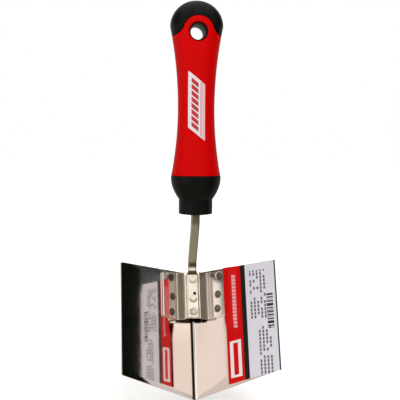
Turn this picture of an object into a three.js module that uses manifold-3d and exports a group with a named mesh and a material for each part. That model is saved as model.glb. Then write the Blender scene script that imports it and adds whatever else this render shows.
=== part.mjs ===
// Inside corner trowel, in millimetres, +Z up.
// The origin is the centre of the hang hole, and +Z runs up the handle's axis to its butt. -Y is the hollow side
// of the blade, which the handle leans towards, and +Y is the working side that presses into the corner.
// The blade group has its own frame: its origin is the top end of the crease, and its Z runs up the crease.

import * as THREE from "three";
import { mergeVertices } from "three/addons/utils/BufferGeometryUtils.js";
import Module from "manifold-3d";

const wasm = await Module();
wasm.setup();

const RAD = Math.PI / 180;
const GAP = 0.3; // clearance between touching pieces

// Blade: one sheet bent into a V. The crease is the line where the planes of the two wings would meet.
const LEAN = 20 * RAD; // handle axis from the crease
const HALF_OPENING = 50.5 * RAD; // each wing from the plane of symmetry
const SHEET = 0.8;
const WING = 66; // crease to outer edge, along the wing
const CREASE = 87; // length of the crease
const TOP_RISE = 2; // outer top corner above the crease's top end
const TIP_DROP = 17; // crease's bottom end below the outer bottom corner
const CREASE_RADIUS = 3; // at the middle of the sheet

// Bracket: hat section welded across the crease.
const BRACKET_SHEET = 1.2;
const BRACKET_TOP = -0.8; // below the crease's top end
const BRACKET_LENGTH = 32;
const FLANGE_START = 15.2; // along the wing, from the crease
const FLANGE_END = 29.4;
const FLANGE_TRIM = 1; // outer end of a flange is this much shorter
const PLATE_HALF = 5.2;
const BRACKET_SHIFT = -1.1; // the bracket's raised middle and the foot, off the plane of symmetry
const PLATE_FRONT = 13.8; // in front of the crease

// Shank: square bar with a flattened foot, a cranked arm and a tang.
const BAR = 5.6;
const BAR_CHAMFER = 1.1;
const FOOT_WIDTH = 9;
const FOOT_THICKNESS = 3.4;
const FOOT_CHAMFER = 1.1;
const FOOT_TOP = -2.7;
const FOOT_LENGTH = 30;
const ARM_RISE = 4.5; // where the bar turns forward, above the crease's top end
const BEND_RADIUS = 5;
const EXPOSED_TANG = 7; // below the handle, in line with it
const TANG_DEPTH = 78; // inside the handle

// Handle: stations are heights above the collar's open end.
const HANDLE_LENGTH = 141.5;
const HOLE_STATION = 120.2;
const COLLAR_RADIUS = 11.3;
const COLLAR_CHAMFER = 0.8;
const CROWN_RADIUS = 6; // flat middle of the collar's end, which stands proud of its rim
const CROWN_HEIGHT = 0.8;
const COLLAR_LENGTH = 9.8;
const BULGE_RADIUS = 16.75;
const BULGE_STATION = 24.6;
const WAIST_RADIUS = 12.2;
const WAIST_STATION = 71;
const BUTT_RADIUS = 17.6;
const BUTT_STATION = 124.5;
const DEPTH_AT_COLLAR = 0.92; // front-to-back depth over width
const DEPTH_AT_BUTT = 0.74;
const SQUARENESS = 2.35; // exponent of the section's superellipse
const COLLAR_FORWARD = 37.4; // handle axis in front of the crease's top end, at the collar
const COLLAR_ABOVE = 35.5; // collar's end above the crease's top end, along the crease

// Grip: soft sleeve over the core.
const GRIP_THICKNESS = 2.6;
const GRIP_START = 26;
const SHOULDER = -2.3; // sleeve's top at the sides, from the hole's centre
const LOBE_RADIUS = 10.3; // sleeve round the hang hole
const HOLE_RADIUS = 5.2;
const RIM_RADIUS = 6.1; // sleeve's opening round the hang hole

// Badge: thin slanted plate let into the front of the grip.
const BADGE_HALF_WIDTH = 5.6;
const BADGE_SHIFT = -0.9; // its centre, off the handle's axis
const BADGE_HEIGHT = 37;
const BADGE_SLANT = 9;
const BADGE_STATION = 72; // its centre
const BADGE_PROUD = 0.2;
const BADGE_DEPTH = 0.8;

// Label: card folded round one wing's outer edge.
const CARD = 0.4;
const LABEL_START = 27.8; // along the wing, from the crease
const LABEL_STEP_START = 31.8; // where it comes down off the bracket's flange
const LABEL_STEP_END = 38;
const LABEL_END = WING + GAP + CARD / 2;
const LABEL_BOTTOM = -77.3; // at its inner edge, from the crease's top end
const LABEL_BOTTOM_RISE = 7.2; // its bottom edge, from the inner edge to the outer

const LATHE_SEGMENTS = 30;

// ---- solids and booleans ----

function solid(geometry) {
  const bare = geometry.clone();
  bare.deleteAttribute("normal");
  bare.deleteAttribute("uv");
  const merged = mergeVertices(bare, 1e-4);
  return new wasm.Manifold(
    new wasm.Mesh({
      numProp: 3,
      vertProperties: Float32Array.from(merged.attributes.position.array),
      triVerts: Uint32Array.from(merged.index.array),
    }),
  );
}

function toGeometry(body) {
  const mesh = body.getMesh();
  const geometry = new THREE.BufferGeometry();
  geometry.setAttribute("position", new THREE.BufferAttribute(Float32Array.from(mesh.vertProperties), 3));
  geometry.setIndex(new THREE.BufferAttribute(Uint32Array.from(mesh.triVerts), 1));
  geometry.computeVertexNormals();
  return geometry;
}

function blockSolid(width, depth, height, x, y, z) {
  return solid(new THREE.BoxGeometry(width, depth, height).translate(x, y, z));
}

// A cylinder along Y through the hang hole's centre.
function holeSolid(radius) {
  return solid(new THREE.CylinderGeometry(radius, radius, 60, 32));
}

// Outline of a strip of constant thickness that follows a line of points, with mitred corners.
function stripShape(points, thickness) {
  const sideA = [];
  const sideB = [];
  points.forEach((point, i) => {
    const before = points[Math.max(i - 1, 0)];
    const after = points[Math.min(i + 1, points.length - 1)];
    const directionIn = point.clone().sub(i > 0 ? before : point).normalize();
    const directionOut = (i < points.length - 1 ? after.clone().sub(point) : directionIn.clone()).normalize();
    if (i === 0) directionIn.copy(directionOut);
    const mean = directionIn.clone().add(directionOut).normalize();
    const normal = new THREE.Vector2(-mean.y, mean.x);
    const reach = thickness / 2 / mean.dot(directionIn);
    sideA.push(point.clone().addScaledVector(normal, reach));
    sideB.unshift(point.clone().addScaledVector(normal, -reach));
  });
  return new THREE.Shape([...sideA, ...sideB]);
}

// A point on the right wing: distance along it from the crease, and height off its mid-plane on the hollow side.
function onWing(along, height) {
  const x = along * Math.sin(HALF_OPENING) - height * Math.cos(HALF_OPENING);
  const y = -along * Math.cos(HALF_OPENING) - height * Math.sin(HALF_OPENING);
  return new THREE.Vector2(x, y);
}

// Extrudes a section from one height up to another, then tilts its two ends. bottomAt and topAt give each end's
// height at a distance x from the plane of symmetry.
function extrudeBetween(shape, bottomAt, topAt) {
  const geometry = new THREE.ExtrudeGeometry(shape, { depth: 1, bevelEnabled: false });
  const position = geometry.attributes.position;
  for (let i = 0; i < position.count; i += 1) {
    const across = Math.abs(position.getX(i));
    position.setZ(i, position.getZ(i) > 0.5 ? topAt(across) : bottomAt(across));
  }
  return geometry;
}

// ---- blade group ----

function bladeGeometry() {
  const turn = Math.PI / 2 - HALF_OPENING; // half of the bend
  const centre = -CREASE_RADIUS / Math.sin(HALF_OPENING);
  const arc = new THREE.EllipseCurve(
    0, centre, CREASE_RADIUS, CREASE_RADIUS, Math.PI / 2 + turn, Math.PI / 2 - turn, true,
  ).getPoints(8);
  const rightEnd = onWing(WING, 0);
  const outline = [new THREE.Vector2(-rightEnd.x, rightEnd.y), ...arc, rightEnd];
  const reach = rightEnd.x;
  return extrudeBetween(
    stripShape(outline, SHEET),
    (across) => -CREASE + (TIP_DROP * across) / reach,
    (across) => (TOP_RISE * across) / reach,
  );
}

function bracketGeometry() {
  const lift = SHEET / 2 + GAP + BRACKET_SHEET / 2;
  const slide = BRACKET_SHIFT / Math.sin(HALF_OPENING);
  const half = (side) => {
    const bend = onWing(FLANGE_START + side * slide, lift);
    const end = onWing(FLANGE_END, lift);
    const edge = new THREE.Vector2(PLATE_HALF + side * BRACKET_SHIFT, -PLATE_FRONT + BRACKET_SHEET / 2);
    return [edge, bend, end].map((point) => new THREE.Vector2(side * point.x, point.y));
  };
  const inner = onWing(FLANGE_START, lift).x;
  const outer = onWing(FLANGE_END, lift).x;
  const bottom = BRACKET_TOP - BRACKET_LENGTH;
  return extrudeBetween(
    stripShape([...half(-1).reverse(), ...half(1)], BRACKET_SHEET),
    (across) => bottom + (FLANGE_TRIM * Math.max(across - inner, 0)) / (outer - inner),
    () => BRACKET_TOP,
  );
}

function labelGeometry() {
  const lift = SHEET / 2 + GAP + CARD / 2;
  const liftOverFlange = lift + BRACKET_SHEET + GAP;
  const line = [
    onWing(LABEL_START, liftOverFlange),
    onWing(LABEL_STEP_START, liftOverFlange),
    onWing(LABEL_STEP_END, lift),
    onWing(LABEL_END, lift),
    onWing(LABEL_END, -lift),
    onWing(LABEL_START, -lift),
  ];
  const inner = onWing(LABEL_START, 0).x;
  const outer = onWing(WING, 0).x;
  return extrudeBetween(
    stripShape(line, CARD),
    (across) => LABEL_BOTTOM + (LABEL_BOTTOM_RISE * (across - inner)) / (outer - inner),
    (across) => (TOP_RISE * across) / outer,
  );
}

// ---- shank, in the handle's frame ----

// A rectangle with its four corners cut off.
function barShape(width, depth, chamfer) {
  const x = width / 2;
  const y = depth / 2;
  return new THREE.Shape([
    new THREE.Vector2(x - chamfer, -y),
    new THREE.Vector2(x, chamfer - y),
    new THREE.Vector2(x, y - chamfer),
    new THREE.Vector2(x - chamfer, y),
    new THREE.Vector2(chamfer - x, y),
    new THREE.Vector2(-x, y - chamfer),
    new THREE.Vector2(-x, chamfer - y),
    new THREE.Vector2(chamfer - x, -y),
  ]);
}

// A chain of straight runs through the given corners, each corner rounded by a quadratic curve.
function cornerPath(corners, radius) {
  const path = new THREE.CurvePath();
  let start = corners[0];
  for (let i = 1; i < corners.length - 1; i += 1) {
    const into = corners[i].clone().sub(corners[i - 1]).normalize();
    const out = corners[i + 1].clone().sub(corners[i]).normalize();
    const from = corners[i].clone().addScaledVector(into, -radius);
    const to = corners[i].clone().addScaledVector(out, radius);
    path.add(new THREE.LineCurve3(start, from));
    path.add(new THREE.QuadraticBezierCurve3(from, corners[i], to));
    start = to;
  }
  path.add(new THREE.LineCurve3(start, corners[corners.length - 1]));
  return path;
}

const bladeFrame = new THREE.Matrix4().makeRotationX(-LEAN);
const collarInBlade = new THREE.Vector3(0, -COLLAR_FORWARD, COLLAR_ABOVE).applyMatrix4(bladeFrame);
bladeFrame.setPosition(-collarInBlade.x, -collarInBlade.y, -HOLE_STATION - collarInBlade.z);

function shankGeometry() {
  const barY = -(PLATE_FRONT + GAP + BAR / 2);
  const corners = [
    new THREE.Vector3(BRACKET_SHIFT, barY, FOOT_TOP - 2).applyMatrix4(bladeFrame),
    new THREE.Vector3(BRACKET_SHIFT, barY, ARM_RISE).applyMatrix4(bladeFrame),
    new THREE.Vector3(0, 0, -HOLE_STATION - EXPOSED_TANG),
    new THREE.Vector3(0, 0, -HOLE_STATION + TANG_DEPTH),
  ];
  const bar = new THREE.ExtrudeGeometry(barShape(BAR, BAR, BAR_CHAMFER), {
    steps: 60,
    bevelEnabled: false,
    extrudePath: cornerPath(corners, BEND_RADIUS),
  });
  const footY = -(PLATE_FRONT + GAP + FOOT_THICKNESS / 2);
  const foot = new THREE.ExtrudeGeometry(barShape(FOOT_WIDTH, FOOT_THICKNESS, FOOT_CHAMFER), {
    depth: FOOT_LENGTH,
    bevelEnabled: false,
  });
  foot.translate(BRACKET_SHIFT, footY, FOOT_TOP - FOOT_LENGTH);
  foot.applyMatrix4(bladeFrame);
  return toGeometry(solid(bar).add(solid(foot)));
}

// ---- handle ----

// Radius of the waist's arc that passes through the given station and radius.
function waistArcRadius(station, radius) {
  const rise = radius - WAIST_RADIUS;
  return ((station - WAIST_STATION) ** 2 + rise ** 2) / (2 * rise);
}

// Half-outline of the handle: radius against height above the collar's end.
function handleProfile() {
  const path = new THREE.Path();
  const lower = waistArcRadius(BULGE_STATION, BULGE_RADIUS);
  const upper = waistArcRadius(BUTT_STATION, BUTT_RADIUS);
  const lowerAngle = Math.asin((WAIST_STATION - BULGE_STATION) / lower);
  const upperAngle = Math.asin((BUTT_STATION - WAIST_STATION) / upper);
  path.moveTo(0, -CROWN_HEIGHT);
  path.lineTo(CROWN_RADIUS, -CROWN_HEIGHT);
  path.lineTo(COLLAR_RADIUS - COLLAR_CHAMFER, 0);
  path.lineTo(COLLAR_RADIUS, COLLAR_CHAMFER);
  path.lineTo(COLLAR_RADIUS, COLLAR_LENGTH);
  path.quadraticCurveTo(BULGE_RADIUS, (COLLAR_LENGTH + BULGE_STATION) / 2, BULGE_RADIUS, BULGE_STATION);
  path.absarc(WAIST_RADIUS + lower, WAIST_STATION, lower, Math.PI + lowerAngle, Math.PI, true);
  path.absarc(WAIST_RADIUS + upper, WAIST_STATION, upper, Math.PI, Math.PI - upperAngle, true);
  path.absellipse(0, BUTT_STATION, BUTT_RADIUS, HANDLE_LENGTH - BUTT_STATION, 0, Math.PI / 2, false, 0);
  return path.getPoints(6);
}

// The handle's outer form, moved inwards by inset, with its oval section made from the round one.
function handleSolid(inset) {
  const profile = handleProfile();
  const last = profile.length - 1;
  const moved = profile.map((point, i) => {
    const onAxis = i === 0 || i === last;
    return new THREE.Vector2(onAxis ? 0 : Math.max(point.x - inset, 0.05), point.y);
  });
  const form = new THREE.LatheGeometry(moved, LATHE_SEGMENTS);
  const position = form.attributes.position;
  for (let i = 0; i < position.count; i += 1) {
    const x = position.getX(i);
    const y = -position.getZ(i);
    const station = position.getY(i);
    const angle = Math.atan2(y, x);
    const bulge = (Math.abs(Math.cos(angle)) ** SQUARENESS + Math.abs(Math.sin(angle)) ** SQUARENESS) **
      (-1 / SQUARENESS);
    const depth = DEPTH_AT_COLLAR + ((DEPTH_AT_BUTT - DEPTH_AT_COLLAR) * station) / HANDLE_LENGTH;
    position.setXYZ(i, x * bulge, y * bulge * depth, station - HOLE_STATION);
  }
  return solid(form);
}

// The space the grip takes up: the length of the handle up to the shoulders, and a lobe round the hang hole.
function gripZone(grow) {
  const bottom = GRIP_START - HOLE_STATION - grow;
  const top = SHOULDER + grow;
  const sleeve = blockSolid(60, 60, top - bottom, 0, 0, (top + bottom) / 2);
  return sleeve.add(holeSolid(LOBE_RADIUS + grow));
}

// A slanted prism in front of the handle's axis, with the badge's outline.
function badgePrism(grow) {
  const halfWidth = BADGE_HALF_WIDTH + grow;
  const halfSide = BADGE_HEIGHT / 2 + 2 * grow;
  const slant = BADGE_SLANT / 2;
  const outline = new THREE.Shape([
    new THREE.Vector2(-halfWidth, slant - halfSide),
    new THREE.Vector2(halfWidth, -slant - halfSide),
    new THREE.Vector2(halfWidth, -slant + halfSide),
    new THREE.Vector2(-halfWidth, slant + halfSide),
  ]);
  const prism = new THREE.ExtrudeGeometry(outline, { depth: 30, bevelEnabled: false });
  prism.rotateX(Math.PI / 2);
  prism.translate(BADGE_SHIFT, 0, BADGE_STATION - HOLE_STATION);
  return solid(prism);
}

function coreGeometry() {
  const sleeveSpace = gripZone(GAP).subtract(handleSolid(GRIP_THICKNESS + GAP));
  const socketSide = BAR + 2 * GAP;
  const socketDepth = TANG_DEPTH + GAP;
  const socket = blockSolid(socketSide, socketSide, 2 * socketDepth, 0, 0, -HOLE_STATION);
  return toGeometry(handleSolid(0).subtract(sleeveSpace).subtract(socket).subtract(holeSolid(HOLE_RADIUS)));
}

function gripGeometry() {
  const pocket = badgePrism(GAP).subtract(handleSolid(BADGE_DEPTH + GAP));
  const sleeve = handleSolid(0).intersect(gripZone(0)).subtract(handleSolid(GRIP_THICKNESS));
  return toGeometry(sleeve.subtract(pocket).subtract(holeSolid(RIM_RADIUS)));
}

function badgeGeometry() {
  return toGeometry(handleSolid(-BADGE_PROUD).subtract(handleSolid(BADGE_DEPTH)).intersect(badgePrism(0)));
}

// ---- assembly ----

function piece(name, geometry, color, roughness, metalness) {
  const mesh = new THREE.Mesh(geometry, new THREE.MeshStandardMaterial({ color, roughness, metalness }));
  mesh.name = name;
  return mesh;
}

const bladeGroup = new THREE.Group();
bladeGroup.add(
  piece("blade", bladeGeometry(), 0xd9d3ca, 0.12, 1),
  piece("bracket", bracketGeometry(), 0xcfc8bd, 0.2, 1),
  piece("label_sleeve", labelGeometry(), 0xc81216, 0.5, 0),
);
bladeGroup.applyMatrix4(bladeFrame);

const trowel = new THREE.Group();
trowel.add(
  bladeGroup,
  piece("shank", shankGeometry(), 0x9a958c, 0.3, 1),
  piece("handle_core", coreGeometry(), 0x141614, 0.4, 0),
  piece("soft_grip", gripGeometry(), 0xd20a10, 0.5, 0),
  piece("grip_badge", badgeGeometry(), 0xe8e8e6, 0.4, 0),
);

export default trowel;
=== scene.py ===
"""Inside corner trowel: the visual model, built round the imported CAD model.

Lengths are in millimetres until a mesh is made, and a mesh is in metres. The row frame has its origin at the
centre of the hang hole, +Z up the handle, and -Y on the hollow side of the blade. The blade frame has its
origin at the top end of the crease and its Z up the crease.
"""

import math

import bmesh
import bpy
import numpy as np
from mathutils import Matrix, Vector


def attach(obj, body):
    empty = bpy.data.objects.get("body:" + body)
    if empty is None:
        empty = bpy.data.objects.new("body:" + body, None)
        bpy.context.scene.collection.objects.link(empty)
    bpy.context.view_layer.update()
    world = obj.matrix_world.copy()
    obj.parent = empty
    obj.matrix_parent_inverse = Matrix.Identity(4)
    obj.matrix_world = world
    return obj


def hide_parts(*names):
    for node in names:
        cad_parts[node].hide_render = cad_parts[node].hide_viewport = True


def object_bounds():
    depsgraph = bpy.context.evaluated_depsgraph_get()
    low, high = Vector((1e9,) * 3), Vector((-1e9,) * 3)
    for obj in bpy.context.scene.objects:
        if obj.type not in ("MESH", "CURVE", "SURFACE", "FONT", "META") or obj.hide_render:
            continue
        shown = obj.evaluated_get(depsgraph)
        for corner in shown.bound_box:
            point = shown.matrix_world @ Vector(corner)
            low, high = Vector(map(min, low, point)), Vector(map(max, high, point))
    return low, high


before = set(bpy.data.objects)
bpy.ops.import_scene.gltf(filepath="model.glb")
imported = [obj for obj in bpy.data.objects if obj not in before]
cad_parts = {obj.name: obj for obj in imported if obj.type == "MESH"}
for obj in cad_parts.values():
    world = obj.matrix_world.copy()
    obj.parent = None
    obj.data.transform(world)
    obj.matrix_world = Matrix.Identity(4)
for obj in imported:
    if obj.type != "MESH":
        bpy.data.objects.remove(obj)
CAD_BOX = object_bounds()
MM = 0.001

# ---- sizes of the CAD model, in millimetres ----

GAP = 0.3
LEAN = math.radians(20)
HALF_OPENING = math.radians(50.5)
SHEET = 0.8
WING = 66.0
CREASE = 87.0
TOP_RISE = 2.0
TIP_DROP = 17.0
CREASE_RADIUS = 3.0

BRACKET_SHEET = 1.2
BRACKET_TOP = -0.8
BRACKET_LENGTH = 32.0
FLANGE_START = 15.2
FLANGE_END = 29.4
FLANGE_TRIM = 1.0
PLATE_HALF = 5.2
BRACKET_SHIFT = -1.1
PLATE_FRONT = 13.8

BAR = 5.6
FOOT_WIDTH = 9.0
FOOT_THICKNESS = 3.4
FOOT_TOP = -2.7
FOOT_LENGTH = 30.0
ARM_RISE = 4.5
BEND_REACH = 5.0
EXPOSED_TANG = 7.0
TANG_DEPTH = 78.0

HANDLE_LENGTH = 141.5
HOLE_STATION = 120.2
COLLAR_RADIUS = 11.3
CROWN_RADIUS = 6.0
CROWN_HEIGHT = 0.8
COLLAR_LENGTH = 9.8
BULGE_RADIUS = 16.75
BULGE_STATION = 24.6
WAIST_RADIUS = 12.2
WAIST_STATION = 71.0
BUTT_RADIUS = 17.6
BUTT_STATION = 124.5
DEPTH_AT_COLLAR = 0.92
DEPTH_AT_BUTT = 0.74
SQUARENESS = 2.35
COLLAR_FORWARD = 37.4
COLLAR_ABOVE = 35.5

GRIP_THICKNESS = 2.6
GRIP_START = 26.0
SHOULDER = -2.3
LOBE_RADIUS = 10.3
HOLE_RADIUS = 5.2
RIM_RADIUS = 6.1

BADGE_HALF_WIDTH = 5.6
BADGE_SHIFT = -0.9
BADGE_HEIGHT = 37.0
BADGE_SLANT = 9.0
BADGE_STATION = 72.0
BADGE_PROUD = 0.2
BADGE_DEPTH = 0.8

CARD = 0.4
LABEL_START = 27.8
LABEL_STEP_START = 31.8
LABEL_STEP_END = 38.0
LABEL_END = WING + GAP + CARD / 2
LABEL_BOTTOM = -77.3
LABEL_BOTTOM_RISE = 7.2

# ---- sizes of the finer shapes ----

SHEET_EDGE = 0.15  # rounding of the blade's edges
CORNER = 1.3  # blade's outer corners
FLARE = 8.0  # hollow curve from the grip's lobe down to its shoulders
SEAM = 0.12  # half of the groove between the grip and the core
LIP = 0.45  # rounding at the seam
RIM_FILLET = 1.5  # rounding of the grip round the hang hole
PATCH_BOTTOM = -16.0  # where the handle's round tube gives way to the part round the hole
BORE_WAIST = 0.7  # the hang hole's radius shrinks by this much to its middle
AROUND = 128  # points round the handle
FOOT_ROUNDING = 1.35  # of the foot's long edges
WALL_FOOT = 10.4  # where the bracket's walls meet its flanges, from the plate's middle
WALL_DROP = 0.6  # how far the bracket's walls reach below its plate
WELD_RADIUS = 2.65
WELD_DEPTH = 0.3
LEFT_WELDS = ((22.0, -4.5), (21.0, -17.5), (21.9, -28.1))  # along the wing, and above the crease's top end
RIGHT_WELDS = ((24.0, -3.8), (22.4, -16.6), (21.6, -26.4))
FOOT_WELDS = (-6.6, -19.7, -28.5)
FOOT_HOLE = (1.1, -16.0)  # off the foot's middle, and above the crease's top end
FOOT_HOLE_RADIUS = 0.95
FOOT_HOLE_DEPTH = 2.0
SHOULDER_SHADOW_TOP = 0.9  # top of the painted shadow under the shoulder at the foot's top, above the crease's top end
SEAM_COUNT = 150  # points along the seam
SIDE_COUNT = 18  # points down each side, from the seam to PATCH_BOTTOM
SHARP_ANGLE = 38.0  # degrees: a mesh edge that turns more is shaded as an edge
EASE = 1 - np.cos(np.radians(np.linspace(0, 90, 7)))  # shares of a rounded edge's reach

# ---- print on the label: along the wing from the crease, and above the crease's top end ----

RED_END = 40.6
BLACK_END = 44.2
FOLD_SHADE = (66.3, 68.0)
ROW_PITCH = 2.6
WORD_PITCH = 2.4
UPPER_TEXT = ((46.6, 59.8), (-36.0, -3.5))
LOWER_TEXT = ((51.8, 62.4), (-74.0, -41.0))
STRIPES = ((59.6, 64.4), (-43.0, -20.0))
TITLE = ((34.0, 36.6), (-41.0, -4.5))
EMBLEM = ((30.0, 38.6), (-78.5, -54.5))
EMBLEM_INSIDE = ((31.2, 37.4), (-77.0, -56.0))
EMBLEM_FILL = (32.6, 36.2)

# ---- print on the badge: from its centre, across and up ----

BADGE_BAR_PITCH = 4.1
BADGE_BARS = ((-3.4, 1.2), (-16.4, 16.4))
BADGE_RULE = (2.6, 3.0)
BADGE_RULE_ENDS = (-17.6, 17.6)
BADGE_STRIP = (3.0, 9.0)

# ---- camera ----

CAMERA_ANGLES = (-7.2, 5.0, 0.42)  # azimuth, elevation and roll, in degrees
CAMERA_TARGET = (3.05, 0, -111.1)
CAMERA_DISTANCE = 515.1
CAMERA_LENS = 68.4
CAMERA_SENSOR = 36.0

BLADE_TURN = Matrix.Rotation(-LEAN, 4, "X")
COLLAR_IN_BLADE = BLADE_TURN @ Vector((0, -COLLAR_FORWARD, COLLAR_ABOVE))
BLADE_FRAME = Matrix.Translation((0, -COLLAR_IN_BLADE.y, -HOLE_STATION - COLLAR_IN_BLADE.z)) @ BLADE_TURN


# ---- meshes ----


def add_object(name, data):
    """Makes an object and puts it in the scene."""
    made = bpy.data.objects.new(name, data)
    bpy.context.scene.collection.objects.link(made)
    return made


def smooth(part):
    """Eases a share between 0 and 1."""
    return part * part * (3 - 2 * part)


class Shell:
    """Grids of points that are welded into one closed mesh."""

    def __init__(self):
        self.points = []
        self.faces = []
        self.count = 0

    def grid(self, rows, wrap=False):
        """Adds rows of points, as an array of rows x columns x 3. wrap joins the last column to the first."""
        rows = np.asarray(rows, float)
        high, wide = rows.shape[:2]
        index = self.count + np.arange(high * wide).reshape(high, wide)
        self.points.append(rows.reshape(-1, 3))
        self.count += high * wide
        if wrap:
            index = np.concatenate([index, index[:, :1]], axis=1)
        quads = np.stack([index[:-1, :-1], index[:-1, 1:], index[1:, 1:], index[1:, :-1]], axis=-1)
        self.faces.append(quads.reshape(-1, 4))

    def mirrored(self, rows):
        """Adds a grid and its mirror image in the plane y = 0."""
        rows = np.asarray(rows, float)
        self.grid(rows)
        self.grid(rows * np.array([1, -1, 1]))

    def build(self, name, to_row=None):
        """Makes the object. to_row is the matrix that takes the points to the row frame."""
        points = np.concatenate(self.points)
        if to_row is not None:
            turn = np.array(to_row)
            points = points @ turn[:3, :3].T + turn[:3, 3]
        mesh = bpy.data.meshes.new(name)
        mesh.from_pydata((points * MM).tolist(), [], np.concatenate(self.faces).tolist())
        piece = add_object(name, mesh)
        clean(piece)
        return piece


def clean(piece):
    """Welds doubled points, drops faces with no area, turns every face outwards and sets the shading."""
    edit = bmesh.new()
    edit.from_mesh(piece.data)
    bmesh.ops.remove_doubles(edit, verts=edit.verts, dist=3e-6)
    bmesh.ops.dissolve_degenerate(edit, edges=edit.edges, dist=1e-6)
    bmesh.ops.recalc_face_normals(edit, faces=edit.faces)
    for face in edit.faces:
        face.smooth = True
    for edge in edit.edges:
        edge.smooth = edge.calc_face_angle(0) < math.radians(SHARP_ANGLE)
    edit.to_mesh(piece.data)
    edit.free()


def finish_piece(piece, material, node):
    """Gives a piece its material, hangs it on the root body and hides the CAD node it stands in for."""
    piece.data.materials.clear()
    piece.data.materials.append(material)
    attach(piece, "root")
    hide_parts(node)


def on_wing(along, height):
    """A point of the right wing's section: distance from the crease, and height on the hollow side."""
    return np.array([
        along * math.sin(HALF_OPENING) - height * math.cos(HALF_OPENING),
        -along * math.cos(HALF_OPENING) - height * math.sin(HALF_OPENING),
    ])


class Line:
    """Straight runs with round corners.

    There is a point every step along the runs, and every arc_step degrees on the arcs.
    """

    def __init__(self, corners, radii, step, arc_step=6.0):
        corners = [np.asarray(corner, float) for corner in corners]
        points = []
        normals = []
        start = corners[0]
        for i in range(1, len(corners)):
            run = corners[i] - corners[i - 1]
            run /= np.linalg.norm(run)
            last = i == len(corners) - 1
            end = corners[i]
            if not last:
                out = corners[i + 1] - corners[i]
                out /= np.linalg.norm(out)
                turn = math.atan2(run[0] * out[1] - run[1] * out[0], run @ out)
                end = corners[i] - run * radii[i - 1] * abs(math.tan(turn / 2))
            normal = np.array([run[1], -run[0]])
            count = max(1, math.ceil(np.linalg.norm(end - start) / step))
            for k in range(0 if i == 1 else 1, count + 1):
                points.append(start + (end - start) * k / count)
                normals.append(normal)
            if last:
                break
            side = math.copysign(1.0, -turn)
            centre = end + normal * radii[i - 1] * side
            count = max(2, math.ceil(abs(math.degrees(turn)) / arc_step))
            for k in range(1, count + 1):
                angle = turn * k / count
                cos, sin = math.cos(angle), math.sin(angle)
                spin = np.array([[cos, -sin], [sin, cos]])
                points.append(centre - spin @ normal * radii[i - 1] * side)
                normals.append(spin @ normal)
            start = points[-1]
        self.points = np.array(points)
        self.normals = np.array(normals)
        gaps = np.linalg.norm(np.diff(self.points, axis=0), axis=1)
        self.along = np.concatenate([[0.0], np.cumsum(gaps)])
        self.length = self.along[-1]

    def at(self, along, lift):
        """Points at a distance along the line and lifted off it, past its ends in a straight line."""
        inside = np.clip(along, 0, self.length)
        over = np.asarray(along - inside)[..., None]

        def read(values):
            return np.stack([np.interp(inside, self.along, values[:, k]) for k in (0, 1)], axis=-1)

        point = read(self.points)
        normal = read(self.normals)
        tangent = np.stack([-normal[..., 1], normal[..., 0]], axis=-1)
        return point + tangent * over + normal * np.asarray(lift)[..., None]

    def across(self, along):
        """How far to the right the line is, at a distance along it."""
        return self.at(along, np.zeros_like(along))[..., 0]


def plate(shell, place, columns, low, high, thickness, edge, rows, corner, relief=None):
    """Adds a closed plate with rounded edges.

    columns are distances across it, low and high give its two ends' heights at a column, and place(across,
    height, lift) gives the points. edge is the rounding of its edges, rows the number of rows of faces, and
    corner the radius of its four corners. relief(across, height) raises its face.
    """
    first, last = columns[0] + edge, columns[-1] - edge
    radius = max(corner - edge, 1e-3)
    steps = radius * EASE
    middle = columns[(columns > first + radius) & (columns < last - radius)]
    across = np.concatenate([first + steps, last - steps, middle])
    across = np.unique(np.round(across, 5))
    near = np.clip(radius - np.minimum(across - first, last - across), 0, radius)
    trim = edge + radius - np.sqrt(radius**2 - near**2)
    part = np.linspace(0, 1, rows + 1)[:, None]
    low_end = low(across) + trim
    high_end = high(across) - trim
    height = low_end * (1 - part) + high_end * part
    width = np.broadcast_to(across, height.shape)
    raised = np.full(height.shape, thickness / 2)
    if relief is not None:
        raised = raised + relief(width, height)
    shell.grid(place(width, height, raised))
    shell.grid(place(width, height, np.full(height.shape, -thickness / 2)))
    loop = np.concatenate([
        np.stack([width[0], height[0]], -1),
        np.stack([width[1:, -1], height[1:, -1]], -1),
        np.stack([width[-1, -2::-1], height[-1, -2::-1]], -1),
        np.stack([width[-2:0:-1, 0], height[-2:0:-1, 0]], -1),
    ])
    run = np.roll(loop, -1, axis=0) - np.roll(loop, 1, axis=0)
    outward = np.stack([run[:, 1], -run[:, 0]], -1) / np.linalg.norm(run, axis=1)[:, None]
    rings = []
    for angle in np.radians(np.linspace(0, 180, 9)):
        off = loop + outward * edge * math.sin(angle)
        lift = math.copysign(thickness / 2 - edge, math.cos(angle)) + edge * math.cos(angle)
        rings.append(place(off[:, 0], off[:, 1], np.full(len(off), lift)))
    shell.grid(rings, wrap=True)


def sheet_place(line):
    """Puts a bent sheet's points in the blade frame."""
    def place(along, height, lift):
        flat = line.at(along, lift)
        return np.concatenate([flat, height[..., None]], axis=-1)
    return place


def dish(distance, radius, depth):
    """Depth of a shallow round dent with a soft rim and a small central dome."""
    rim_share = 0.22
    dome_share, dome_height = 0.35, 0.25
    near = np.clip(distance / radius, 0, 1)
    wall = np.clip((1 - near) / rim_share, 0, 1)
    return -depth * smooth(wall) * (1 - dome_height * np.exp(-((near / dome_share) ** 2)))


# ---- blade, bracket and label ----


def blade():
    corners = [on_wing(WING, 0) * (-1, 1), (0, 0), on_wing(WING, 0)]
    line = Line(corners, [CREASE_RADIUS], step=3.0, arc_step=2.5)
    reach = on_wing(WING, 0)[0]
    shell = Shell()
    plate(
        shell, sheet_place(line), line.along,
        lambda along: -CREASE + TIP_DROP * np.abs(line.across(along)) / reach,
        lambda along: TOP_RISE * np.abs(line.across(along)) / reach,
        SHEET, edge=SHEET_EDGE, rows=24, corner=CORNER,
    )
    return shell.build("blade_sheet", BLADE_FRAME)


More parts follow.
